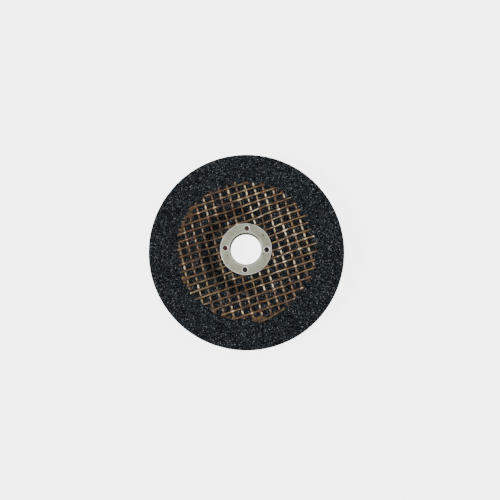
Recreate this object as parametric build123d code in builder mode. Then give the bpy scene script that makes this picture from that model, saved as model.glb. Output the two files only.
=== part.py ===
from build123d import *
import os
from math import ceil, cos, radians, sin, tan

# Depressed-centre grinding disc, 4 inch class, seen with its recessed working face up.
# Millimetres. The origin is on the bore's axis, at the back face of the raised hub.

# Moulded abrasive
disc_diameter = 100.0
disc_thickness = 6.0
rim_break = 0.3
recess_floor_diameter = 35.5
recess_depth = 4.0
recess_slope_angle = 41.0
recess_corner_easing = 1.0

# Pressed steel ring in the bore
bore_diameter = 16.0
ring_wall = 0.5
flange_diameter = 26.7
flange_edge_break = 0.15
neck_length = 4.2
neck_clearance = 0.1
lip_break = 0.45
anchor_hole_diameter = 2.5
anchor_hole_break = 0.25
anchor_hole_circle_diameter = 21.5
anchor_hole_count = 4
anchor_hole_turn = -2.5

# Glass-fibre net over the recess and the inner part of the face
net_diameter = 70.0
net_hole_clearance = 0.5
weft_pitch = 3.777
weft_angle = 18.2
weft_shift = -1.29
weft_width = 0.85
weft_height = 0.25
warp_pitch = 4.529
warp_angle = 105.2
warp_shift = 0.92
warp_width = 1.0
warp_height = 0.25

# Places that follow from the sizes above
disc_radius = disc_diameter / 2
floor_radius = recess_floor_diameter / 2
floor_level = disc_thickness
face_level = floor_level + recess_depth
slope = radians(recess_slope_angle)
mouth_radius = floor_radius + recess_depth / tan(slope)
back_corner_shift = disc_thickness * tan(slope / 2)
neck_radius = bore_diameter / 2 + ring_wall
seat_radius = neck_radius + neck_clearance
net_hole_radius = neck_radius + net_hole_clearance
net_radius = net_diameter / 2
flange_underside = floor_level + warp_height + weft_height
flange_top = flange_underside + ring_wall
neck_end = flange_underside - neck_length


def working_face(start_radius, end_radius, height):
    """Outline of floor, slope and face with eased corners, lifted square to itself."""
    easing_run = recess_corner_easing * cos(slope)
    easing_rise = recess_corner_easing * sin(slope)
    lift = height / cos(slope / 4)
    flat_in, flat_up = lift * sin(slope / 4), lift * cos(slope / 4)
    steep_in, steep_up = lift * sin(3 * slope / 4), lift * cos(3 * slope / 4)
    return Polyline(
        (start_radius, floor_level + height),
        (floor_radius - recess_corner_easing - flat_in, floor_level + flat_up),
        (floor_radius + easing_run - steep_in, floor_level + easing_rise + steep_up),
        (mouth_radius - easing_run - steep_in, face_level - easing_rise + steep_up),
        (mouth_radius + recess_corner_easing - flat_in, face_level + flat_up),
        (end_radius, face_level + height),
    )


def net_layer(base, height):
    """Layer that follows the floor, the slope and the face at a height above them."""
    with BuildPart() as layer:
        with BuildSketch(Plane.XZ):
            with BuildLine():
                lower = working_face(net_hole_radius, net_radius, base)
                upper = working_face(net_hole_radius, net_radius, base + height)
                Line(lower @ 0, upper @ 0)
                Line(lower @ 1, upper @ 1)
            make_face()
        revolve(axis=Axis.Z)
    return layer.part


def yarn_walls(pitch, shift, angle, width):
    """Upright walls over the parallel yarns of one direction."""
    reach = ceil(net_radius / pitch) + 1
    offsets = [step * pitch + shift for step in range(-reach, reach + 1)]
    yarns = [Pos(0, offset) for offset in offsets if abs(offset) < net_radius - pitch / 4]
    with BuildPart() as walls:
        with BuildSketch(Plane.XY.rotated((0, 0, angle))):
            with Locations(*yarns):
                Rectangle(net_diameter + pitch, width)
        extrude(amount=face_level + disc_thickness)
    return walls.part


# The body is one moulding: flat rim, sloped shoulder, and a hub raised on the back
with BuildPart() as abrasive_body:
    with BuildSketch(Plane.XZ):
        with BuildLine():
            face = working_face(seat_radius, disc_radius, 0)
            back = Polyline(
                (seat_radius, 0),
                (floor_radius + back_corner_shift, 0),
                (mouth_radius + back_corner_shift, recess_depth),
                (disc_radius, recess_depth),
            )
            Line(face @ 0, back @ 0)
            Line(face @ 1, back @ 1)
        make_face()
    revolve(axis=Axis.Z)
    rim_edges = abrasive_body.edges().filter_by(GeomType.CIRCLE).group_by(SortBy.RADIUS)[-1]
    chamfer(rim_edges, length=rim_break)
abrasive_body.part.label = "abrasive_body"

# The warp lies on the abrasive, and the weft crosses over it
with BuildPart() as warp_yarns:
    add(net_layer(0, warp_height))
    add(yarn_walls(warp_pitch, warp_shift, warp_angle, warp_width), mode=Mode.INTERSECT)
warp_yarns.part.label = "warp_yarns"

with BuildPart() as weft_yarns:
    add(net_layer(warp_height, weft_height))
    add(yarn_walls(weft_pitch, weft_shift, weft_angle, weft_width), mode=Mode.INTERSECT)
weft_yarns.part.label = "weft_yarns"

# The ring's flange presses on the net, and its neck goes down into the bore
with BuildPart() as bore_ring:
    with BuildSketch(Plane.XY.offset(neck_end)):
        Circle(neck_radius)
    extrude(amount=neck_length)
    with BuildSketch(Plane.XY.offset(flange_underside)):
        Circle(flange_diameter / 2)
    extrude(amount=ring_wall)
    chamfer(bore_ring.edges().filter_by(GeomType.CIRCLE).sort_by(Axis.Z)[-1], length=flange_edge_break)
    with Locations(Plane.XY.offset(flange_top)):
        Hole(bore_diameter / 2)
    lip = bore_ring.edges().filter_by(GeomType.CIRCLE).group_by(Axis.Z)[-1].sort_by(SortBy.RADIUS)[0]
    chamfer(lip, length=lip_break)
    with Locations(Plane.XY.offset(flange_top)):
        with PolarLocations(anchor_hole_circle_diameter / 2, anchor_hole_count, start_angle=anchor_hole_turn):
            CounterSinkHole(
                anchor_hole_diameter / 2,
                anchor_hole_diameter / 2 + anchor_hole_break,
                depth=2 * ring_wall,
                counter_sink_angle=90,
            )
bore_ring.part.label = "bore_ring"

os.makedirs("parts", exist_ok=True)
export_step(abrasive_body.part, "parts/abrasive_body.step")
export_step(warp_yarns.part, "parts/warp_yarns.step")
export_step(weft_yarns.part, "parts/weft_yarns.step")
export_step(bore_ring.part, "parts/bore_ring.step")
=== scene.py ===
import math
from bisect import bisect
from itertools import product

import bmesh
import bpy
import numpy as np
from bpy.props import FloatProperty, FloatVectorProperty, IntProperty, PointerProperty, StringProperty
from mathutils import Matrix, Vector


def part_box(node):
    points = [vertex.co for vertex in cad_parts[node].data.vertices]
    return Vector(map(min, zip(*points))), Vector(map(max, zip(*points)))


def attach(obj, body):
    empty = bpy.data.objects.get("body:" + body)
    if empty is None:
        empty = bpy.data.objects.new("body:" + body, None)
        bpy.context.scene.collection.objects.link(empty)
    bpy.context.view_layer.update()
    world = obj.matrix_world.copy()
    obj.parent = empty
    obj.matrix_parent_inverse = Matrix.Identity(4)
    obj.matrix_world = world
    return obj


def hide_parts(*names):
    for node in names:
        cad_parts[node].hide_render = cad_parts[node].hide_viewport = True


bl_info = {
    "name": "Depressed-centre grinding disc",
    "version": (1, 0, 0),
    "blender": (4, 5, 0),
    "location": "View3D > Sidebar > Grinding disc",
    "description": "Builds the looks of a resin-bonded grinding disc around its packed solids",
    "category": "Object",
}

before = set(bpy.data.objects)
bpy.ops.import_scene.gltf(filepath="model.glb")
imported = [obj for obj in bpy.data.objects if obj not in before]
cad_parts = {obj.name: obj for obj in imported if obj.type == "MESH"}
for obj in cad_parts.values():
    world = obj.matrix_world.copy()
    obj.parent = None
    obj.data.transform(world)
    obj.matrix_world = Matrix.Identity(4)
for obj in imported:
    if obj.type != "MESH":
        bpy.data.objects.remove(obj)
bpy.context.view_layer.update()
MM = 0.001
BODY = "root"
BODY_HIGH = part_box("abrasive_body")[1]
RING_LOW, RING_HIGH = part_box("bore_ring")
NET_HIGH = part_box("weft_yarns")[1]


class DiscSizes(bpy.types.PropertyGroup):
    """Sizes of the moulded disc and its ring."""

    disc_radius: FloatProperty(
        name="Disc radius", description="Outer radius", default=BODY_HIGH.x, unit="LENGTH")
    face_level: FloatProperty(
        name="Face level", description="Height of the working face", default=BODY_HIGH.z, unit="LENGTH")
    thickness: FloatProperty(
        name="Thickness", description="Thickness of the moulding", default=6.0 * MM, unit="LENGTH")
    floor_radius: FloatProperty(
        name="Recess floor radius", description="Radius where the slope starts",
        default=17.75 * MM, unit="LENGTH")
    slope_angle: FloatProperty(
        name="Slope angle", description="Slope of the recess wall",
        default=math.radians(41.0), subtype="ANGLE")
    corner_round: FloatProperty(
        name="Corner round", description="Run of the rounded corners", default=1.3 * MM, unit="LENGTH")
    seat_radius: FloatProperty(
        name="Seat radius", description="Radius of the hole for the neck", default=8.6 * MM, unit="LENGTH")
    bore_radius: FloatProperty(
        name="Bore radius", description="Radius of the steel bore", default=8.0 * MM, unit="LENGTH")


class GritLook(bpy.types.PropertyGroup):
    """Size of the abrasive grain, and its colours as hex."""

    grain: FloatProperty(
        name="Grain", description="Width of one abrasive grain", default=0.34 * MM, unit="LENGTH")
    lump: FloatProperty(
        name="Lump", description="Width of the lumps of grain", default=0.8 * MM, unit="LENGTH")
    relief: FloatProperty(
        name="Relief", description="Depth between the lumps", default=0.12 * MM, unit="LENGTH")
    bond: StringProperty(name="Bond colour", description="Dark phenolic bond", default="030405")
    grain_dark: StringProperty(name="Dark grain", description="Colour of most grains", default="1B2024")
    grain_mid: StringProperty(name="Grey grain", description="Colour of the greyer grains", default="31373C")
    grain_light: StringProperty(
        name="Light grain", description="Colour of the lightest grains", default="545D64")
    # Painted highlight: near-white colour for the few brightest grains, standing in for the glints their
    # facets catch.
    painted_glint: StringProperty(name="Glint", description="Colour of the few brightest facets", default="B0B6BA")


class NetLook(bpy.types.PropertyGroup):
    """Weave of the glass-fibre net, and its colours as hex."""

    weft_pitch: FloatProperty(
        name="Weft pitch", description="Distance between weft yarns", default=3.777 * MM, unit="LENGTH")
    weft_angle: FloatProperty(
        name="Weft angle", description="Direction of the weft", default=math.radians(18.2), subtype="ANGLE")
    weft_shift: FloatProperty(
        name="Weft shift", description="Offset of the middle weft yarn", default=-1.29 * MM, unit="LENGTH")
    weft_width: FloatProperty(
        name="Weft width", description="Width of a weft yarn", default=0.84 * MM, unit="LENGTH")
    warp_pitch: FloatProperty(
        name="Warp pitch", description="Distance between warp pairs", default=4.529 * MM, unit="LENGTH")
    warp_angle: FloatProperty(
        name="Warp angle", description="Direction of the warp", default=math.radians(105.2), subtype="ANGLE")
    warp_shift: FloatProperty(
        name="Warp shift", description="Offset of the middle warp pair", default=0.92 * MM, unit="LENGTH")
    warp_width: FloatProperty(
        name="Warp strand width", description="Width of one strand", default=0.66 * MM, unit="LENGTH")
    radius: FloatProperty(
        name="Net radius", description="Outer radius of the net", default=NET_HIGH.x, unit="LENGTH")
    hole_radius: FloatProperty(
        name="Net hole radius", description="Radius of the net's middle hole",
        default=9.0 * MM, unit="LENGTH")
    umber: StringProperty(name="Deep resin", description="Yarn deep in brown resin", default="35261C")
    russet: StringProperty(name="Red-brown resin", description="Yarn in red-brown resin", default="5E432C")
    tan: StringProperty(name="Coated yarn", description="Yarn under thin resin", default="705C3C")
    straw: StringProperty(name="Pale yarn", description="Yarn under yellowish resin", default="8C7651")
    red: StringProperty(name="Red resin", description="Yarn in the reddest resin", default="693726")
    cream: StringProperty(name="Dry yarn", description="Glass that shows through", default="D0C09C")
    web: StringProperty(
        name="Resin web", description="Resin at the crossings, deep to thin", default="24140E 452B1D 684630")
    amber: StringProperty(
        name="Amber resin", description="Resin at the net's edge, deep to thin",
        default="2A1D12 5A4324 7F6840")
    seat: StringProperty(
        name="Black resin seat", description="Resin in two of the ring's holes",
        default="040303 0C0908 241A16")
    red_seat: StringProperty(
        name="Red resin seat", description="Resin in the other two", default="180A06 3E1E13 6E3E2A")


class RingLook(bpy.types.PropertyGroup):
    """Form of the pressed steel ring, and its colours as hex."""

    lip_round: FloatProperty(
        name="Lip round", description="Radius of the bend into the bore", default=0.45 * MM, unit="LENGTH")
    edge_round: FloatProperty(
        name="Edge round", description="Rounding of the flange's rim", default=0.14 * MM, unit="LENGTH")
    hole_radius: FloatProperty(
        name="Anchor hole radius", description="Radius of an anchor hole", default=1.25 * MM, unit="LENGTH")
    hole_circle: FloatProperty(
        name="Anchor hole circle", description="Radius to the anchor holes",
        default=10.75 * MM, unit="LENGTH")
    hole_flare: FloatProperty(
        name="Anchor hole flare", description="Rounding of an anchor hole's rim",
        default=0.35 * MM, unit="LENGTH")
    hole_turn: FloatProperty(
        name="Anchor hole turn", description="Turn of the four anchor holes",
        default=math.radians(-2.5), subtype="ANGLE")
    holes: IntProperty(name="Anchor holes", description="Number of anchor holes", default=4)
    steel: StringProperty(name="Steel", description="Colour of the plated steel", default="BBBFA7")
    shade: StringProperty(name="Dull steel", description="Colour of duller plating", default="A8AC95")
    light: StringProperty(name="Light steel", description="Colour of fresher plating", default="CACDBA")
    # Painted highlight: near-white colour on the rims of the anchor holes, the outer edge and the bend into
    # the bore.
    painted_edge_highlight: StringProperty(name="Painted edge highlight", description="Colour of burnished edges", default="FFFFF8")
    # Painted shade: the dark grey of the wall inside the bore.
    bore: StringProperty(name="Bore", description="Dull unplated wall of the bore", default="22221F")
    # Dark specks on the ring, and also the deeper painted shade of the bore wall.
    grime_and_bore_shade: StringProperty(name="Grime", description="Colour of specks and stains", default="1A1917")


class StudioLook(bpy.types.PropertyGroup):
    """Camera, and floor with its colour as hex."""

    camera_place: FloatVectorProperty(
        name="Camera place", description="Where the camera stands",
        default=(3.45 * MM, -21.9 * MM, 226.5 * MM), unit="LENGTH")
    camera_turn: FloatVectorProperty(
        name="Camera turn", description="How the camera is turned",
        default=(math.radians(11.13), math.radians(1.7), 0.0), subtype="EULER")
    shift: FloatVectorProperty(
        name="Shift", description="Lens shift that frames the disc", default=(0.0200, -0.0831), size=2)
    focal_pixels: FloatProperty(
        name="Focal length", description="In pixels of a 500 pixel picture", default=424.5)
    floor: StringProperty(name="Floor", description="Colour of the pale floor", default="F6F6F5")
    floor_glow: FloatProperty(
        name="Floor glow", description="Light that comes through the floor", default=4.5)


# Places in plan

def polar(radius, angle):
    """Plan position at a distance from the axis, in a direction."""
    return radius * math.cos(angle), radius * math.sin(angle)


def hole_centres(ring):
    """Plan positions of the ring's anchor holes."""
    step = 2 * math.pi / ring.holes
    return [polar(ring.hole_circle, ring.hole_turn + k * step) for k in range(ring.holes)]


def weave_axes(angle):
    """Unit vectors along and across yarns that lie at an angle."""
    return np.array(polar(1.0, angle)), np.array([-math.sin(angle), math.cos(angle)])


# Colours and nodes

def linear(hex_colour):
    """Linear RGBA of an sRGB hex colour."""
    channels = [int(hex_colour[i:i + 2], 16) / 255 for i in (0, 2, 4)]
    return [c / 12.92 if c <= 0.04045 else ((c + 0.055) / 1.055) ** 2.4 for c in channels] + [1.0]


def add_node(tree, kind, inputs=None, **settings):
    """A node with its settings; an input is a value, or an output socket to link from."""
    made = tree.nodes.new(kind)
    for name, value in settings.items():
        setattr(made, name, value)
    for name, value in (inputs or {}).items():
        if isinstance(value, bpy.types.NodeSocket):
            tree.links.new(value, made.inputs[name])
        else:
            made.inputs[name].default_value = value
    return made


def new_material(name):
    """A material with its empty node tree."""
    material = bpy.data.materials.new(name)
    material.use_nodes = True
    material.node_tree.nodes.clear()
    return material, material.node_tree


def finish_material(material, shader):
    """Give a material its output, with a shader as its surface."""
    add_node(material.node_tree, "ShaderNodeOutputMaterial", {"Surface": shader.outputs["BSDF"]})
    return material


def colour_steps(tree, factor, steps):
    """A colour ramp from (place, hex) steps."""
    ramp = add_node(tree, "ShaderNodeValToRGB", {"Fac": factor})
    band = ramp.color_ramp
    while len(band.elements) < len(steps):
        band.elements.new(0.5)
    for element, (place, colour) in zip(band.elements, steps):
        element.position = place
        element.color = linear(colour)
    return ramp.outputs["Color"]


def per_metre(size):
    """Texture scale that gives cells of a real size."""
    return 1.0 / size


def resin_bonded_grit(look):
    """Moulded phenolic bond full of fused-alumina grain: blue-black, with small glints painted into the
    colour of the brightest grains on its broken facets, and painted shade on the rim and the back, which are
    also rougher."""
    material, tree = new_material("resin_bonded_grit")
    place = add_node(tree, "ShaderNodeTexCoord").outputs["Object"]
    pressed = add_node(tree, "ShaderNodeAttribute", attribute_name="pressed").outputs["Fac"]
    cells = add_node(tree, "ShaderNodeTexVoronoi", {"Vector": place, "Scale": per_metre(look.grain)})
    pick = add_node(tree, "ShaderNodeSeparateColor", {"Color": cells.outputs["Color"]})
    # The brightest step of this ramp is a painted highlight: near-white glints on a few grains.
    base = colour_steps(tree, pick.outputs["Red"], [
        (0.28, look.bond), (0.5, look.grain_dark), (0.78, look.grain_mid),
        (0.94, look.grain_light), (1.0, look.painted_glint)])
    normal = add_node(tree, "ShaderNodeNewGeometry").outputs["Normal"]
    rise = add_node(tree, "ShaderNodeSeparateXYZ", {"Vector": normal}).outputs["Z"]
    # Painted shade: the more a face turns from upward, as on the rim and the back, the more its colour goes
    # to the bond's; the same factor makes it rougher.
    rim_shade_and_dullness = add_node(tree, "ShaderNodeMapRange", {
        "Value": rise, "To Min": 0.72, "To Max": 0.0}).outputs["Result"]
    # Darker under the net, where the grain is pressed into the bond, plus the painted shade of the rim and
    # back.
    soak_and_rim_shade = add_node(tree, "ShaderNodeMath", {0: pressed, 1: 0.45, 2: rim_shade_and_dullness}, operation="MULTIPLY_ADD")
    colour = add_node(tree, "ShaderNodeMix", {
        "Factor": soak_and_rim_shade.outputs["Value"], "A": base, "B": linear(look.bond)}, data_type="RGBA")
    tilt = add_node(tree, "ShaderNodeVectorMath", {0: cells.outputs["Color"], 1: (0.5, 0.5, 0.5)},
                    operation="SUBTRACT").outputs["Vector"]
    amount = add_node(tree, "ShaderNodeMapRange", {
        "Value": pressed, "To Min": 1.6, "To Max": 0.5}).outputs["Result"]
    level = add_node(tree, "ShaderNodeMapRange", {
        "Value": rise, "To Min": 0.25, "To Max": 1.0}).outputs["Result"]
    spread = add_node(tree, "ShaderNodeMath", {0: amount, 1: level}, operation="MULTIPLY").outputs["Value"]
    facet = add_node(tree, "ShaderNodeVectorMath", {0: tilt, "Scale": spread},
                     operation="SCALE").outputs["Vector"]
    turned = add_node(tree, "ShaderNodeVectorMath", {0: normal, 1: facet}, operation="ADD").outputs["Vector"]
    unit = add_node(tree, "ShaderNodeVectorMath", {0: turned}, operation="NORMALIZE").outputs["Vector"]
    gloss = add_node(tree, "ShaderNodeMapRange", {
        "Value": pick.outputs["Blue"], "To Min": 0.2, "To Max": 0.7}).outputs["Result"]
    rough = add_node(tree, "ShaderNodeMath", {0: gloss, 1: rim_shade_and_dullness}, operation="ADD", use_clamp=True)
    shader = add_node(tree, "ShaderNodeBsdfPrincipled", {
        "Base Color": colour.outputs["Result"], "Roughness": rough.outputs["Value"],
        "IOR": 1.5, "Specular IOR Level": 0.05, "Normal": unit})
    return finish_material(material, shader)


def resin_soaked_glass_yarn(look, name, dry):
    """E-glass yarn under brown phenolic resin: red-brown to tan, cream where the dry glass shows, satin,
    with a painted highlight along each yarn's crown and darker resin fillets at its sides.
    """
    material, tree = new_material(name)
    place = add_node(tree, "ShaderNodeTexCoord").outputs["Object"]
    patches = add_node(tree, "ShaderNodeTexNoise", {
        "Vector": place, "Scale": per_metre(7.0 * MM), "Detail": 4.0, "Roughness": 0.75})
    spots = add_node(tree, "ShaderNodeTexNoise", {
        "Vector": place, "Scale": per_metre(0.8 * MM), "Detail": 3.0, "Roughness": 0.8})
    # This attribute also carries painted light and shade on the recess wall, besides the resin's thinness.
    thin = add_node(tree, "ShaderNodeAttribute", attribute_name="thin_resin_and_slope_light").outputs["Fac"]
    coated = colour_steps(tree, patches.outputs["Fac"], [
        (0.33, look.umber), (0.44, look.russet), (0.55, look.tan), (0.7, look.straw)])
    reds = add_node(tree, "ShaderNodeTexNoise", {
        "Vector": place, "Scale": per_metre(2.0 * MM), "Detail": 2.0, "Distortion": 0.6})
    red = add_node(tree, "ShaderNodeMapRange", {
        "Value": reds.outputs["Fac"], "From Min": 0.56, "From Max": 0.66, "To Max": 0.7})
    coated = add_node(tree, "ShaderNodeMix", {
        "Factor": red.outputs["Result"], "A": coated, "B": linear(look.red)}, data_type="RGBA")
    total = add_node(tree, "ShaderNodeMath", {
        0: spots.outputs["Fac"], 1: 1.8, 2: thin}, operation="MULTIPLY_ADD").outputs["Value"]
    show = add_node(tree, "ShaderNodeMapRange", {
        "Value": total, "From Min": 1.54 - dry, "From Max": 1.84 - dry})
    sink = add_node(tree, "ShaderNodeMapRange", {
        "Value": total, "From Min": 0.6, "From Max": 1.3, "To Min": 0.32, "To Max": 1.35})
    lit = add_node(tree, "ShaderNodeMix", {
        "Factor": show.outputs["Result"], "A": coated.outputs["Result"], "B": linear(look.cream)},
        data_type="RGBA")
    # Painted highlight along the crown of each yarn, lifting its colour above its own; the sides are
    # darkened for the brown resin fillets along them.
    crown = add_node(tree, "ShaderNodeAttribute", attribute_name="crown").outputs["Fac"]
    crown_highlight_and_fillet = add_node(tree, "ShaderNodeMapRange", {
        "Value": crown, "From Min": 0.4, "From Max": 1.0, "To Min": 0.24, "To Max": 1.25})
    sunk = add_node(tree, "ShaderNodeVectorMath", {
        0: lit.outputs["Result"], "Scale": sink.outputs["Result"]}, operation="SCALE")
    colour = add_node(tree, "ShaderNodeVectorMath", {
        0: sunk.outputs["Vector"], "Scale": crown_highlight_and_fillet.outputs["Result"]}, operation="SCALE")
    fibres = add_node(tree, "ShaderNodeTexNoise", {
        "Vector": place, "Scale": per_metre(0.2 * MM), "Detail": 2.0})
    bump = add_node(tree, "ShaderNodeBump", {
        "Height": fibres.outputs["Fac"], "Strength": 0.5, "Distance": 0.06 * MM})
    shader = add_node(tree, "ShaderNodeBsdfPrincipled", {
        "Base Color": colour.outputs["Vector"], "Roughness": 0.28, "IOR": 1.5,
        "Normal": bump.outputs["Normal"]})
    return finish_material(material, shader)


def cured_resin(name, colours):
    """Phenolic resin that ran out of the yarns and cured: black where deep to amber where thin, glossy."""
    material, tree = new_material(name)
    place = add_node(tree, "ShaderNodeTexCoord").outputs["Object"]
    clouds = add_node(tree, "ShaderNodeTexNoise", {
        "Vector": place, "Scale": per_metre(1.6 * MM), "Detail": 3.0})
    colour = colour_steps(tree, clouds.outputs["Fac"], list(zip((0.35, 0.55, 0.75), colours.split())))
    bump = add_node(tree, "ShaderNodeBump", {
        "Height": clouds.outputs["Fac"], "Strength": 0.5, "Distance": 0.2 * MM})
    shader = add_node(tree, "ShaderNodeBsdfPrincipled", {
        "Base Color": colour, "Roughness": 0.35, "IOR": 1.6, "Specular IOR Level": 0.3,
        "Normal": bump.outputs["Normal"]})
    return finish_material(material, shader)


def plated_pressed_steel(look, bore_radius, outer_radius):
    """Zinc-plated sheet steel pressed to shape: light warm grey and satin, with painted highlights that turn
    the rims of the anchor holes, the outer edge and the bend into the bore near white, and a few dark
    specks."""
    material, tree = new_material("zinc_plated_pressed_steel")
    place = add_node(tree, "ShaderNodeTexCoord").outputs["Object"]
    plan = add_node(tree, "ShaderNodeVectorMath", {0: place, 1: (1, 1, 0)},
                    operation="MULTIPLY").outputs["Vector"]
    radius = add_node(tree, "ShaderNodeVectorMath", {0: plan}, operation="LENGTH").outputs["Value"]
    to_hole = radius
    for centre in hole_centres(look):
        away = add_node(tree, "ShaderNodeVectorMath", {0: plan, 1: (*centre, 0)}, operation="DISTANCE")
        to_hole = add_node(tree, "ShaderNodeMath", {0: to_hole, 1: away.outputs["Value"]},
                           operation="MINIMUM").outputs["Value"]
    bend = bore_radius + look.lip_round + 0.45 * MM
    past_bend = add_node(tree, "ShaderNodeMath", {0: radius, 1: bend}, operation="SUBTRACT").outputs["Value"]
    to_bend = add_node(tree, "ShaderNodeMath", {0: past_bend}, operation="ABSOLUTE").outputs["Value"]
    hole_edge = look.hole_radius + look.hole_flare
    # Painted highlights: bands at the anchor holes' rims, the outer edge and the bend go towards near white.
    highlighted = 0.0
    for distance, start, end in (
            (to_hole, hole_edge + 0.22 * MM, hole_edge),
            (radius, outer_radius - 0.45 * MM, outer_radius - 0.2 * MM),
            (to_bend, 0.2 * MM, 0.05 * MM)):
        band = add_node(tree, "ShaderNodeMapRange", {"Value": distance, "From Min": start, "From Max": end})
        highlighted = add_node(tree, "ShaderNodeMath", {0: highlighted, 1: band.outputs["Result"]},
                             operation="MAXIMUM").outputs["Value"]
    bloom = add_node(tree, "ShaderNodeTexNoise", {
        "Vector": place, "Scale": per_metre(4.0 * MM), "Detail": 5.0, "Roughness": 0.65})
    pits = add_node(tree, "ShaderNodeTexNoise", {
        "Vector": place, "Scale": per_metre(1.5 * MM), "Detail": 4.0, "Roughness": 0.7})
    specks = add_node(tree, "ShaderNodeTexVoronoi", {"Vector": place, "Scale": per_metre(3.0 * MM)},
                      voronoi_dimensions="2D")
    pick = add_node(tree, "ShaderNodeSeparateColor", {"Color": specks.outputs["Color"]})
    size = add_node(tree, "ShaderNodeMapRange", {
        "Value": pick.outputs["Red"], "From Min": 0.45, "From Max": 1.0, "To Max": 0.13})
    speck = add_node(tree, "ShaderNodeMath", {0: specks.outputs["Distance"], 1: size.outputs["Result"]},
                     operation="LESS_THAN")
    base = colour_steps(tree, bloom.outputs["Fac"], [
        (0.3, look.shade), (0.5, look.steel), (0.72, look.light)])
    bright = add_node(tree, "ShaderNodeMix", {
        "Factor": highlighted, "A": base, "B": linear(look.painted_edge_highlight)}, data_type="RGBA")
    colour = add_node(tree, "ShaderNodeMix", {
        "Factor": speck.outputs["Value"], "A": bright.outputs["Result"], "B": linear(look.grime_and_bore_shade)},
        data_type="RGBA")
    rough = add_node(tree, "ShaderNodeMapRange", {
        "Value": bloom.outputs["Fac"], "To Min": 0.36, "To Max": 0.56})
    bump = add_node(tree, "ShaderNodeBump", {
        "Height": pits.outputs["Fac"], "Strength": 0.3, "Distance": 0.06 * MM}, invert=True)
    shader = add_node(tree, "ShaderNodeBsdfPrincipled", {
        "Base Color": colour.outputs["Result"], "Metallic": 0.85, "Roughness": rough.outputs["Result"],
        "Normal": bump.outputs["Normal"]})
    return finish_material(material, shader)


def shaded_bore_wall(look):
    """Wall inside the bore, coloured dark grey and matt as painted shade, with no reflection."""
    material, tree = new_material("bore_wall_painted_shade")
    place = add_node(tree, "ShaderNodeTexCoord").outputs["Object"]
    mottle = add_node(tree, "ShaderNodeTexNoise", {
        "Vector": place, "Scale": per_metre(0.8 * MM), "Detail": 3.0})
    colour = colour_steps(tree, mottle.outputs["Fac"], [(0.35, look.grime_and_bore_shade), (0.65, look.bore)])
    shader = add_node(tree, "ShaderNodeBsdfPrincipled", {
        "Base Color": colour, "Roughness": 0.9, "Specular IOR Level": 0.0})
    return finish_material(material, shader)


def opal_light_table(look):
    """Opal acrylic light table: pale, matt and softly lit from below, so that it takes few shadows."""
    material, tree = new_material("opal_light_table")
    shader = add_node(tree, "ShaderNodeBsdfPrincipled", {
        "Base Color": linear(look.floor), "Roughness": 0.9,
        "Emission Color": linear(look.floor), "Emission Strength": look.floor_glow})
    return finish_material(material, shader)


# Form of the moulding

def soft_ramp(run, width):
    """Zero below, a slope of one above, and a rounded corner between."""
    bend = np.clip(run + width, 0, 2 * width) ** 2 / (4 * width)
    return np.where(run > width, run, bend)


def face_height(radius, sizes):
    """Height of the working face at a distance from the axis."""
    rise = math.tan(sizes.slope_angle)
    depth = sizes.face_level - sizes.thickness
    start = radius - sizes.floor_radius
    end = start - depth / rise
    ramp = soft_ramp(start, sizes.corner_round) - soft_ramp(end, sizes.corner_round)
    return sizes.thickness + rise * ramp


def face_normal(points, sizes):
    """Upward unit normals of the working face at plan positions."""
    radius = np.maximum(np.hypot(*points.T), 1e-9)
    step = 0.02 * MM
    slope = (face_height(radius + step, sizes) - face_height(radius - step, sizes)) / (2 * step)
    outward = points / radius[:, None]
    normal = np.column_stack([-slope[:, None] * outward, np.ones(len(points))])
    return normal / np.linalg.norm(normal, axis=1)[:, None]


def cell_random(cells, salt):
    """A steady random number from 0 to 1 for every whole-numbered cell."""
    mixed = (cells[:, 0] * 73856093) ^ (cells[:, 1] * 19349663) ^ (cells[:, 2] * 83492791) ^ (salt * 2654435)
    mixed = (mixed ^ (mixed >> 13)) * 1274126177 & 0x7FFFFFFF
    return ((mixed ^ (mixed >> 16)) & 0xFFFFFF) / 0xFFFFFF


# How far a lump of grain spreads, in cells, and the lowest lump as a share of the highest
LUMP_REACH = 1.1
LOWEST_LUMP = 0.35


def grain_relief(points, lump):
    """How far each point stands out, from 0 between the lumps to 1 on top of a high one."""
    scaled = points / lump
    home = np.floor(scaled).astype(np.int64)
    nearest = np.full(len(points), np.inf)
    height = np.zeros(len(points))
    for step in product((-1, 0, 1), repeat=3):
        cell = home + step
        seed = np.stack([cell_random(cell, salt) for salt in (1, 2, 3)], 1)
        distance = np.linalg.norm(scaled - cell - seed, axis=1)
        closer = distance < nearest
        nearest = np.where(closer, distance, nearest)
        height = np.where(closer, cell_random(cell, 4), height)
    return np.clip(LUMP_REACH - nearest, 0, 1) * (LOWEST_LUMP + (1 - LOWEST_LUMP) * height)


def link(name, data):
    """A new object for a mesh, light or camera, in the scene."""
    made = bpy.data.objects.new(name, data)
    bpy.context.scene.collection.objects.link(made)
    return made


# Points closer than this are joined, as on the axis
SAME_POINT = 0.002 * MM


def band_faces(rows, sides, closed=False):
    """Faces between neighbouring rows of points that run round a section or an axis."""
    faces = []
    for row in range(rows if closed else rows - 1):
        low, high = row * sides, (row + 1) % rows * sides
        for i in range(sides):
            j = (i + 1) % sides
            faces.append((low + i, low + j, high + j, high + i))
    return faces


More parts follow.
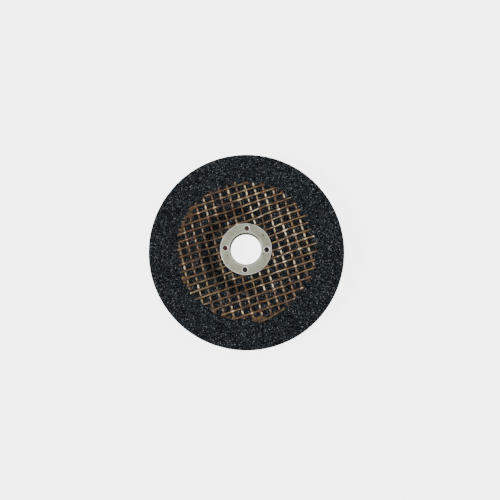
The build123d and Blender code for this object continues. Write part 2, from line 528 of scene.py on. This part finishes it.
def lathe_mesh(name, profile, segments, closed=False):
    """Mesh of a profile of (radius, height) rows turned about Z, with its faces turned outward."""
    turn = np.linspace(0, 2 * math.pi, segments, endpoint=False)
    radius, height = profile.T[:, :, None]
    points = np.stack([radius * np.cos(turn), radius * np.sin(turn), height + 0 * turn], 2).reshape(-1, 3)
    mesh = bpy.data.meshes.new(name)
    mesh.from_pydata(points.tolist(), [], band_faces(len(profile), segments, closed))
    bm = bmesh.new()
    bm.from_mesh(mesh)
    bmesh.ops.remove_doubles(bm, verts=bm.verts, dist=SAME_POINT)
    bmesh.ops.recalc_face_normals(bm, faces=bm.faces)
    bm.to_mesh(mesh)
    bm.free()
    return mesh


def write_attribute(mesh, name, values):
    """A number for each point of a mesh, which its material reads."""
    attribute = mesh.attributes.new(name, "FLOAT", "POINT")
    attribute.data.foreach_set("value", values.astype(np.float32))


def stations(start, end, step):
    """Evenly spaced values from start to end."""
    return np.linspace(start, end, max(2, int(round(abs(end - start) / step)) + 1))


# Chamfer of the rim, steps between the mesh's rows, first row in the bore, and number of steps round
RIM_BREAK = 0.25 * MM
FACE_STEP = 0.5 * MM
BACK_STEP = 0.85 * MM
BORE_STEP = 0.9 * MM
BORE_START = 0.8 * MM
BODY_SEGMENTS = 600

# Band along the rim where grain stands out less, its share there, and the run over which pressing fades
EDGE_BAND = 0.6 * MM
EDGE_RELIEF = 0.45
PRESSED_FADE = 1.2 * MM


def body_profile(sizes):
    """Closed outline of the moulding: face, rim, back and bore."""
    depth = sizes.face_level - sizes.thickness
    shift = sizes.thickness * math.tan(sizes.slope_angle / 2)
    root = sizes.floor_radius + depth / math.tan(sizes.slope_angle) + shift
    face_edge = sizes.disc_radius - RIM_BREAK
    top_radii = stations(sizes.seat_radius, face_edge, FACE_STEP)
    rim = stations(sizes.face_level - RIM_BREAK, depth + RIM_BREAK, FACE_STEP)
    back_radii = stations(face_edge, sizes.seat_radius, BACK_STEP)
    back = depth - np.interp(back_radii, [sizes.floor_radius + shift, root], [depth, 0])
    back = np.maximum(back, 0)
    bore = stations(BORE_START, sizes.thickness - BORE_START, BORE_STEP)
    sides = ((top_radii, face_height(top_radii, sizes)), (sizes.disc_radius, rim),
             (back_radii, back), (sizes.seat_radius, bore))
    return np.concatenate([np.stack(np.broadcast_arrays(*side), 1) for side in sides])


class GRINDINGDISC_OT_abrasive(bpy.types.Operator):
    """Build the moulded abrasive with its grain"""

    bl_idname = "grinding_disc.abrasive"
    bl_label = "Abrasive body"

    def execute(self, context):
        sizes, look = context.scene.disc_sizes, context.scene.grit_look
        mesh = lathe_mesh("moulded_abrasive", body_profile(sizes), BODY_SEGMENTS, closed=True)
        normals = np.array([v.normal for v in mesh.vertices])
        points = np.array([v.co for v in mesh.vertices])
        radius = np.hypot(points[:, 0], points[:, 1])
        share = np.where(sizes.disc_radius - radius < EDGE_BAND, EDGE_RELIEF, 1.0)
        sunk = look.relief * (1 - grain_relief(points, look.lump)) * share
        moved = points - normals * sunk[:, None]
        moved[:, 2] = np.maximum(moved[:, 2], 0)
        mesh.vertices.foreach_set("co", moved.astype(np.float32).ravel())
        mesh.update()
        on_face = normals[:, 2] > 0.3
        fade = np.clip((context.scene.net_look.radius - radius) / PRESSED_FADE, 0, 1)
        write_attribute(mesh, "pressed", fade * on_face)
        body = link("moulded_abrasive", mesh)
        body.data.materials.append(resin_bonded_grit(look))
        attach(body, BODY)
        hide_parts("abrasive_body")
        return {"FINISHED"}


# Form of the net

# Corners of a yarn's section, heights of yarns, steps along them, and how far they drift sideways
SIDES = 8
WEFT_HEIGHT, WARP_HEIGHT = 0.5 * MM, 0.46 * MM
WEFT_STEP, WARP_STEP = 0.4 * MM, 0.33 * MM
WEFT_DRIFT, WARP_DRIFT = 0.12 * MM, 0.14 * MM

# How far the two strands of a warp pair swing from their middle line
WARP_SWING = 0.13 * MM

# Crossings along a yarn, counted from the disc's middle; no yarn has this many
CROSSINGS = np.arange(-40, 41)

# How far a yarn's end may lie from the net's edge, in mm
FRAY = 0.6


def tube(centres, across, up, width, height):
    """Points and faces of a flattened tube along a line of centres."""
    turn = np.linspace(0, 2 * math.pi, SIDES, endpoint=False)
    ring = (centres[:, None, :]
            + across[:, None, :] * (width[:, None] / 2 * np.cos(turn))[:, :, None]
            + up[:, None, :] * (height / 2 * np.sin(turn))[None, :, None])
    last = (len(centres) - 1) * SIDES
    ends = [tuple(range(SIDES))[::-1], tuple(range(last, last + SIDES))]
    return ring.reshape(-1, 3), band_faces(len(centres), SIDES) + ends


# Where the yarn is paler or darker, partly patches of dry glass or deep resin, partly painted shade on the
# left of the recess wall and painted light on its right: turn in degrees, radius, size in mm, amount
RESIN_AND_SLOPE_LIGHT = (
    (96, 25.4, 3.5, 0.35), (77, 18.7, 4.0, 0.4), (35, 18.9, 5.0, 0.25), (10, 18.1, 5.0, 0.22),
    (340, 20.0, 6.0, 0.18), (308, 21.2, 3.5, 0.3), (295, 20.8, 3.5, 0.3), (120, 16.5, 3.5, 0.25),
    (75, 28.0, 6.0, 0.12), (20, 27.0, 8.0, 0.12),
    (180, 19.5, 5.5, -0.45), (205, 20.0, 5.0, -0.45), (228, 21.0, 4.5, -0.35), (252, 21.5, 4.0, -0.3),
    (150, 19.5, 5.0, -0.4), (122, 21.0, 4.0, -0.35), (100, 21.5, 3.0, -0.3), (270, 22.0, 3.5, -0.25),
    (300, 27.0, 8.0, -0.1), (165, 27.0, 6.0, -0.12),
)


def dryness_and_slope_light(plan):
    """How much paler each plan position is made: less resin than usual, and painted light and shade on the
    recess wall.
    """
    total = np.zeros(len(plan))
    for turn, radius, size, amount in RESIN_AND_SLOPE_LIGHT:
        gap = plan / MM - polar(radius, math.radians(turn))
        total += amount * np.exp(-(gap ** 2).sum(1) / size ** 2)
    return total


# How far the ragged net reaches past its nominal radius: turn in degrees, mm
NET_EDGE = (
    (0, 0.6), (20, 0.2), (45, -0.4), (63, 0.3), (90, 0.0), (120, -0.4), (141, 0.5), (153, 0.8), (180, 0.0),
    (207, 0.4), (242, 0.2), (262, 0.8), (280, 0.4), (300, 0.2), (320, -0.2), (342, 1.3), (360, 0.6),
)


def end_along(offset, sign, angle, look, rng):
    """Where a yarn ends at the net's ragged edge, along the yarn."""
    reach = math.sqrt(max(look.radius ** 2 - offset ** 2, 0))
    turn = math.degrees(angle + math.atan2(offset, sign * reach)) % 360
    turns, extras = zip(*NET_EDGE)
    return sign * (reach + (np.interp(turn, turns, extras) + rng.uniform(-FRAY, FRAY)) * MM)


def yarn_spans(offset, angle, look, rng):
    """Start and end along a yarn, cut where the net's hole interrupts it, with ragged outer ends."""
    start, end = (end_along(offset, sign, angle, look, rng) for sign in (-1, 1))
    if abs(offset) >= look.hole_radius:
        return [(start, end)]
    inner = math.sqrt(look.hole_radius ** 2 - offset ** 2)
    return [(start, -inner), (inner, end)]


# Wavelength in mm and share of each wave in what changes slowly or quickly along a yarn
LONG_WAVES = ((31, 1 / 3), (13, 1 / 3), (6, 1 / 3))
SHORT_WAVES = ((5.3, 0.4), (2.7, 0.35), (1.5, 0.25))


def wander(along, rng, waves):
    """A sum of waves along a yarn that start at random, from about -1 to 1."""
    total = np.zeros(len(along))
    for wavelength, share in waves:
        total += share * np.sin(2 * math.pi * along / (wavelength * MM) + rng.uniform(0, 2 * math.pi))
    return total


def yarn_offsets(pitch, shift, radius):
    """Distances from the axis of all yarns of a weave."""
    reach = int(radius / pitch) + 2
    offsets = [k * pitch + shift for k in range(-reach, reach + 1)]
    return [o for o in offsets if abs(o) < radius - pitch / 4]


def yarns(angle, pitch, shift, step, drift, look, rng):
    """Steps along every stretch of yarn in a weave, with their plan positions, which drift a little."""
    direction, side = weave_axes(angle)
    for offset in yarn_offsets(pitch, shift, look.radius):
        for start, end in yarn_spans(offset, angle, look, rng):
            along = stations(start, end, step)
            across = offset + drift * wander(along, rng, LONG_WAVES)
            yield along, direction * along[:, None] + side * across[:, None]


def crossing_wave(plan, angle, pitch, shift):
    """Phase along a yarn, a whole number at each crossing with the yarns of a weave."""
    return (plan @ weave_axes(angle)[1] - shift) / pitch


def build_net(name, strands, sizes):
    """One mesh of all strands; each gives plan points, side, lifts, widths, height, and resin thinness with
    painted light and shade on the recess wall.
    """
    points, faces, thin, base = [], [], [], 0
    for plan, side, lift, width, height, thinness_and_slope_light in strands:
        up = face_normal(plan, sizes)
        level = face_height(np.hypot(*plan.T), sizes)
        centres = np.column_stack([plan, level]) + up * lift[:, None]
        across = np.tile([*side, 0.0], (len(plan), 1))
        across -= up * (across * up).sum(1)[:, None]
        across /= np.linalg.norm(across, axis=1)[:, None]
        strand_points, strand_faces = tube(centres, across, up, width, height)
        points.append(strand_points)
        faces.extend(tuple(i + base for i in face) for face in strand_faces)
        thin.append(np.repeat(thinness_and_slope_light, SIDES))
        base += len(strand_points)
    mesh = bpy.data.meshes.new(name)
    mesh.from_pydata(np.concatenate(points).tolist(), [], faces)
    mesh.shade_smooth()
    write_attribute(mesh, "thin_resin_and_slope_light", np.concatenate(thin))
    # crown is 1 along the top of each tube, where the yarn material paints a highlight.
    crown = np.clip(np.sin(np.linspace(0, 2 * math.pi, SIDES, endpoint=False)), 0, 1)
    write_attribute(mesh, "crown", np.tile(crown, base // SIDES))
    return mesh


# Last weft yarn at the net's edge, pushed aside in moulding: turn in degrees and radius in mm
EDGE_WEFT = (
    (275.4, 34.4), (277.2, 35.9), (280.5, 36.6), (284.0, 36.6),
    (288.0, 36.4), (293.0, 35.8), (298.0, 35.6), (302.0, 35.5),
)
EDGE_WEFT_OUTWARD = math.radians(289)


def edge_weft(look, rng):
    """The bent stretch of weft beyond the last straight one."""
    fine = np.linspace(0, len(EDGE_WEFT) - 1, 60)
    turn, radius = (np.interp(fine, range(len(EDGE_WEFT)), column) for column in zip(*EDGE_WEFT))
    turn, radius = np.radians(turn), radius * MM
    plan = np.stack([radius * np.cos(turn), radius * np.sin(turn)], 1)
    along = np.linspace(0, np.linalg.norm(plan[-1] - plan[0]), len(plan))
    lift = np.full(len(plan), 0.12 * MM)
    width = look.weft_width * (1.0 + 0.15 * wander(along, rng, SHORT_WAVES))
    thinness_and_slope_light = 0.12 + 0.25 * wander(along, rng, SHORT_WAVES)
    return plan, polar(1.0, EDGE_WEFT_OUTWARD), lift, width, 0.45 * MM, thinness_and_slope_light


class GRINDINGDISC_OT_weft(bpy.types.Operator):
    """Build the weft yarns of the net"""

    bl_idname = "grinding_disc.weft"
    bl_label = "Weft yarns"

    def execute(self, context):
        sizes, look = context.scene.disc_sizes, context.scene.net_look
        rng = np.random.default_rng(11)
        side = weave_axes(look.weft_angle)[1]
        strands = []
        for along, plan in yarns(look.weft_angle, look.weft_pitch, look.weft_shift,
                                 WEFT_STEP, WEFT_DRIFT, look, rng):
            phase = crossing_wave(plan, look.warp_angle, look.warp_pitch, look.warp_shift)
            over = np.cos(math.pi * phase) ** 2
            width = look.weft_width * (1.0 + 0.08 * over + 0.16 * wander(along, rng, SHORT_WAVES))
            lift = (0.1 + 0.1 * over) * MM
            beads = np.interp(phase, CROSSINGS, rng.uniform(-0.6, 0.8, len(CROSSINGS))) * over ** 3
            # Dryness adds painted light and shade on the recess wall.
            thinness_and_slope_light = 0.32 + 0.3 * wander(along, rng, LONG_WAVES) + beads + dryness_and_slope_light(plan)
            strands.append((plan, side, lift, width, WEFT_HEIGHT, thinness_and_slope_light))
        strands.append(edge_weft(look, rng))
        net = link("weft_glass_yarns", build_net("weft_glass_yarns", strands, sizes))
        net.data.materials.append(resin_soaked_glass_yarn(look, "resin_soaked_weft_yarn", 0.0))
        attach(net, BODY)
        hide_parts("weft_yarns")
        return {"FINISHED"}


class GRINDINGDISC_OT_warp(bpy.types.Operator):
    """Build the twisted warp pairs of the net"""

    bl_idname = "grinding_disc.warp"
    bl_label = "Warp yarns"

    def execute(self, context):
        sizes, look = context.scene.disc_sizes, context.scene.net_look
        rng = np.random.default_rng(23)
        side = weave_axes(look.warp_angle)[1]
        strands = []
        for along, middle in yarns(look.warp_angle, look.warp_pitch, look.warp_shift,
                                   WARP_STEP, WARP_DRIFT, look, rng):
            phase = crossing_wave(middle, look.weft_angle, look.weft_pitch, look.weft_shift)
            sway = np.sin(math.pi * phase)
            between = sway ** 2
            beads = np.interp(phase, CROSSINGS + 0.5, rng.uniform(-0.65, 0.4, len(CROSSINGS)))
            for sign in (1, -1):
                plan = middle + side * (sign * WARP_SWING * sway)[:, None]
                lift = (0.13 * between - 0.03) * MM
                width = look.warp_width * (0.85 + 0.25 * between + 0.15 * wander(along, rng, SHORT_WAVES))
                # Dryness adds painted light and shade on the recess wall.
                thinness_and_slope_light = 0.12 + 0.5 * between + beads + dryness_and_slope_light(plan)
                strands.append((plan, side, lift, width, WARP_HEIGHT, thinness_and_slope_light))
        net = link("warp_glass_yarns", build_net("warp_glass_yarns", strands, sizes))
        net.data.materials.append(resin_soaked_glass_yarn(look, "resin_soaked_warp_yarn", 0.06))
        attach(net, BODY)
        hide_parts("warp_yarns")
        return {"FINISHED"}


# Resin that ran out at the net's edge: turn in degrees, radius, length along the edge and width in mm
RESIN_RUNS = (
    (279.5, 35.7, 3.0, 2.6), (284, 36.1, 3.5, 1.4), (297, 35.2, 3.5, 1.1), (145, 34.7, 3.4, 2.3),
    (155, 35.2, 2.4, 1.8), (166, 35.0, 2.6, 2.1), (207, 34.9, 2.4, 1.7), (242, 34.7, 2.4, 1.6),
    (258, 35.2, 2.4, 1.5), (63, 34.8, 1.8, 1.3),
)

# Half widths and heights of resin in mm: webs at crossings, drops at yarn ends, fill of anchor holes
WEB_HALF, WEB_HEIGHT = (1.1, 1.55), (0.24, 0.36)
END_HALF, END_HEIGHT = (0.5, 0.95), (0.3, 0.5)
SEAT_HALF, SEAT_HEIGHT = 1.9, 0.62

# How near the net's edge a yarn end gets a drop, what share of them do, and where it lies on the radius
NEAR_EDGE = 3 * MM
SHARE_OF_ENDS = 0.65
DROP_PLACE = 0.985

# Distance from drop to drop along a run, in mm, and the holes that black and then red resin fills
DROP_STEP = 1.1
FILLED_HOLES = ((0, 3), (1, 2))


def crossings(look):
    """Plan positions where weft and warp cross, inside the net."""
    turn = np.linalg.inv(np.array([weave_axes(look.weft_angle)[1], weave_axes(look.warp_angle)[1]]))
    found = [turn @ (a, b)
             for a in yarn_offsets(look.weft_pitch, look.weft_shift, look.radius)
             for b in yarn_offsets(look.warp_pitch, look.warp_shift, look.radius)]
    inner, outer = look.hole_radius + 0.6 * MM, look.radius - 0.3 * MM
    return [place for place in found if inner < np.linalg.norm(place) < outer]


def add_resin_drop(bm, plan, sizes, half_widths, height, rng, detail):
    """A flat, uneven drop of resin that lies on the face."""
    up = Vector(face_normal(np.array([plan]), sizes)[0])
    along = Vector((1, 0, 0)).cross(up).normalized()
    across = up.cross(along)
    centre = Vector((*plan, face_height(math.hypot(*plan), sizes)))
    waves = rng.uniform(0, 2 * math.pi, 3)
    for vert in bmesh.ops.create_icosphere(bm, subdivisions=detail, radius=1.0)["verts"]:
        turn = math.atan2(vert.co.y, vert.co.x)
        lobe = 1 + 0.2 * math.sin(3 * turn + waves[0]) + 0.14 * math.sin(5 * turn + waves[1])
        vert.co = (centre + along * (vert.co.x * half_widths[0] * lobe)
                   + across * (vert.co.y * half_widths[1] * lobe) + up * (vert.co.z * height))


class GRINDINGDISC_OT_resin(bpy.types.Operator):
    """Build the cured resin at the crossings, the net's edge and the anchor holes"""

    bl_idname = "grinding_disc.resin"
    bl_label = "Resin runs"

    def execute(self, context):
        sizes, look = context.scene.disc_sizes, context.scene.net_look
        rng = np.random.default_rng(5)
        bm = bmesh.new()
        limits = []
        for plan in crossings(look):
            half = rng.uniform(*WEB_HALF, 2) * MM
            add_resin_drop(bm, plan, sizes, half, rng.uniform(*WEB_HEIGHT) * MM, rng, 2)
        for name in ("weft_glass_yarns", "warp_glass_yarns"):
            for end in bpy.data.objects[name].data.polygons:
                at_edge = end.center.xy.length > look.radius - NEAR_EDGE
                if len(end.vertices) > 4 and at_edge and rng.random() < SHARE_OF_ENDS:
                    half = rng.uniform(*END_HALF, 2) * MM
                    plan = end.center.xy * DROP_PLACE
                    add_resin_drop(bm, plan, sizes, half, rng.uniform(*END_HEIGHT) * MM, rng, 2)
        limits.append(len(bm.faces))
        holes = hole_centres(context.scene.ring_look)
        for filled in FILLED_HOLES:
            for k in filled:
                half = (SEAT_HALF * MM, SEAT_HALF * MM)
                add_resin_drop(bm, holes[k], sizes, half, SEAT_HEIGHT * MM, rng, 3)
            limits.append(len(bm.faces))
        for turn, radius, length, width in RESIN_RUNS:
            drops = max(2, round(length / DROP_STEP))
            thick = (0.16 + 0.09 * width) * MM
            for k in range(drops):
                angle = math.radians(turn) + (k / (drops - 1) - 0.5) * length / radius
                plan = polar((radius + rng.uniform(-0.35, 0.35)) * MM, angle)
                half = width * rng.uniform(0.45, 0.65, 2) * MM
                add_resin_drop(bm, plan, sizes, half, thick, rng, 3)
        mesh = bpy.data.meshes.new("resin_runs")
        bm.to_mesh(mesh)
        bm.free()
        mesh.shade_smooth()
        runs = link("resin_runs", mesh)
        for name, colours in (("brown_resin_web", look.web), ("black_resin_seat", look.seat),
                              ("red_resin_seat", look.red_seat), ("cured_amber_resin", look.amber)):
            runs.data.materials.append(cured_resin(name, colours))
        for face in runs.data.polygons:
            face.material_index = bisect(limits, face.index)
        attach(runs, BODY)
        return {"FINISHED"}


# Form of the ring

# Thickness of the sheet, steps round the ring and round an anchor hole, and angle of a sharp edge
SHEET = 0.5 * MM
RING_SEGMENTS = 192
HOLE_SEGMENTS = 48
SHARP_ANGLE = math.radians(35)


def arc(centre, radius, start, end, steps):
    """Points of an arc in (radius, height), with its angles in degrees."""
    turn = np.radians(np.linspace(start, end, steps))
    return np.stack([centre[0] + radius * np.cos(turn), centre[1] + radius * np.sin(turn)], 1)


def ring_profile(sizes, look):
    """Closed outline of the pressed ring: flange with rounded rim, bend, and neck."""
    top, bottom = RING_HIGH.z, RING_LOW.z
    outer, bore = RING_HIGH.x, sizes.bore_radius
    under, neck = top - SHEET, bore + SHEET
    lip, edge = look.lip_round, look.edge_round
    return np.array([
        *arc((bore + lip, top - lip), lip, 180, 90, 9),
        (bore + lip + 0.4 * MM, top), (look.hole_circle, top),
        *arc((outer - edge, top - edge), edge, 90, 0, 5),
        (outer, under + 0.02 * MM), (outer - 0.05 * MM, under), (look.hole_circle, under),
        (neck, under), (neck, bottom), (bore, bottom), (bore, (bottom + top) / 2),
    ])


class GRINDINGDISC_OT_ring(bpy.types.Operator):
    """Build the pressed steel ring with its flared anchor holes"""

    bl_idname = "grinding_disc.ring"
    bl_label = "Bore ring"

    def execute(self, context):
        sizes, look = context.scene.disc_sizes, context.scene.ring_look
        mesh = lathe_mesh("pressed_bore_ring", ring_profile(sizes, look), RING_SEGMENTS, closed=True)
        ring = link("pressed_bore_ring", mesh)
        wide, axis = look.hole_radius + look.hole_flare, SAME_POINT / 2
        top, low, high = RING_HIGH.z, RING_HIGH.z - 4 * SHEET, RING_HIGH.z + 2 * SHEET
        cutter_mesh = lathe_mesh("anchor_hole_cutter", np.array([
            (axis, low), (look.hole_radius, low),
            *arc((wide, top - look.hole_flare), look.hole_flare, 180, 90, 7),
            (wide, high), (axis, high)]), HOLE_SEGMENTS)
        cutters = []
        for centre in hole_centres(look):
            cutter = link("anchor_hole_cutter", cutter_mesh)
            cutter.location.xy = centre
            cut = ring.modifiers.new("anchor_hole", "BOOLEAN")
            cut.operation, cut.solver, cut.object = "DIFFERENCE", "EXACT", cutter
            cutters.append(cutter)
        graph = bpy.context.evaluated_depsgraph_get()
        made = bpy.data.meshes.new_from_object(ring.evaluated_get(graph))
        ring.modifiers.clear()
        ring.data = made
        for cutter in cutters:
            bpy.data.objects.remove(cutter)
        made.shade_smooth()
        made.set_sharp_from_angle(angle=SHARP_ANGLE)
        made.materials.clear()
        made.materials.append(plated_pressed_steel(look, sizes.bore_radius, RING_HIGH.x))
        made.materials.append(shaded_bore_wall(look))
        # Faces of the bore wall take the painted shade material.
        for face in made.polygons:
            inside = math.hypot(face.center.x, face.center.y) < sizes.bore_radius + 0.2 * MM
            face.material_index = int(inside)
        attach(ring, BODY)
        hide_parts("bore_ring")
        return {"FINISHED"}


# Studio

# Width of the picture, half the floor's width in metres, and strength of the even light
PICTURE_PIXELS = 500
FLOOR_HALF = 3.0
WORLD_LIGHT = 0.6


def add_light(name, place, aim, energy, size):
    """A square soft white light aimed at a point."""
    data = bpy.data.lights.new(name, "AREA")
    data.energy, data.size = energy, size
    made = link(name, data)
    made.location = place
    made.rotation_euler = (Vector(aim) - Vector(place)).to_track_quat("-Z", "Y").to_euler()


class GRINDINGDISC_OT_studio(bpy.types.Operator):
    """Build the floor, lights and camera"""

    bl_idname = "grinding_disc.studio"
    bl_label = "Studio"

    def execute(self, context):
        scene, look = context.scene, context.scene.studio_look
        mesh = bpy.data.meshes.new("studio_floor")
        corners = [(x * FLOOR_HALF, y * FLOOR_HALF, 0) for x, y in ((-1, -1), (1, -1), (1, 1), (-1, 1))]
        mesh.from_pydata(corners, [], [(0, 1, 2, 3)])
        floor = link("studio_floor", mesh)
        floor.data.materials.append(opal_light_table(look))
        aim = (0, 0, 0.005)
        add_light("key_light", place=(-1.5, -0.35, 1.2), aim=aim, energy=30.0, size=0.55)
        add_light("fill_light", place=(0.34, 0.16, 0.25), aim=aim, energy=0.42, size=0.25)
        world = bpy.data.worlds.new("studio_world")
        world.use_nodes = True
        background = world.node_tree.nodes["Background"].inputs
        background["Color"].default_value = (1, 1, 1, 1)
        background["Strength"].default_value = WORLD_LIGHT
        scene.world = world
        camera = bpy.data.cameras.new("photo_camera")
        camera.sensor_width = 36.0
        camera.lens = look.focal_pixels * camera.sensor_width / PICTURE_PIXELS
        camera.clip_start, camera.clip_end = 0.01, 20.0
        camera.shift_x, camera.shift_y = look.shift
        held = link("photo_camera", camera)
        held.location = look.camera_place
        held.rotation_euler = look.camera_turn
        scene.camera = held
        return {"FINISHED"}


class GRINDINGDISC_PT_panel(bpy.types.Panel):
    """Sizes, colours and build steps of the grinding disc"""

    bl_idname = "GRINDINGDISC_PT_panel"
    bl_label = "Grinding disc"
    bl_space_type = "VIEW_3D"
    bl_region_type = "UI"
    bl_category = "Grinding disc"

    def draw(self, context):
        for group in GROUPS:
            settings = getattr(context.scene, group)
            box = self.layout.box()
            for name in settings.bl_rna.properties.keys():
                if name not in ("rna_type", "name"):
                    box.prop(settings, name)
        for operator in OPERATORS:
            self.layout.operator(operator.bl_idname)


GROUPS = {
    "disc_sizes": DiscSizes,
    "grit_look": GritLook,
    "net_look": NetLook,
    "ring_look": RingLook,
    "studio_look": StudioLook,
}
OPERATORS = (
    GRINDINGDISC_OT_abrasive,
    GRINDINGDISC_OT_weft,
    GRINDINGDISC_OT_warp,
    GRINDINGDISC_OT_resin,
    GRINDINGDISC_OT_ring,
    GRINDINGDISC_OT_studio,
)
CLASSES = (*GROUPS.values(), *OPERATORS, GRINDINGDISC_PT_panel)


def register():
    """Add the classes, and each group of settings to the scene."""
    for cls in CLASSES:
        bpy.utils.register_class(cls)
    for name, group in GROUPS.items():
        setattr(bpy.types.Scene, name, PointerProperty(type=group))


def unregister():
    """Take away what register adds."""
    for name in GROUPS:
        delattr(bpy.types.Scene, name)
    for cls in reversed(CLASSES):
        bpy.utils.unregister_class(cls)


def main():
    """Build every piece in order."""
    register()
    bpy.ops.grinding_disc.abrasive()
    bpy.ops.grinding_disc.weft()
    bpy.ops.grinding_disc.warp()
    bpy.ops.grinding_disc.resin()
    bpy.ops.grinding_disc.ring()
    bpy.ops.grinding_disc.studio()


if __name__ == "__main__":
    main()
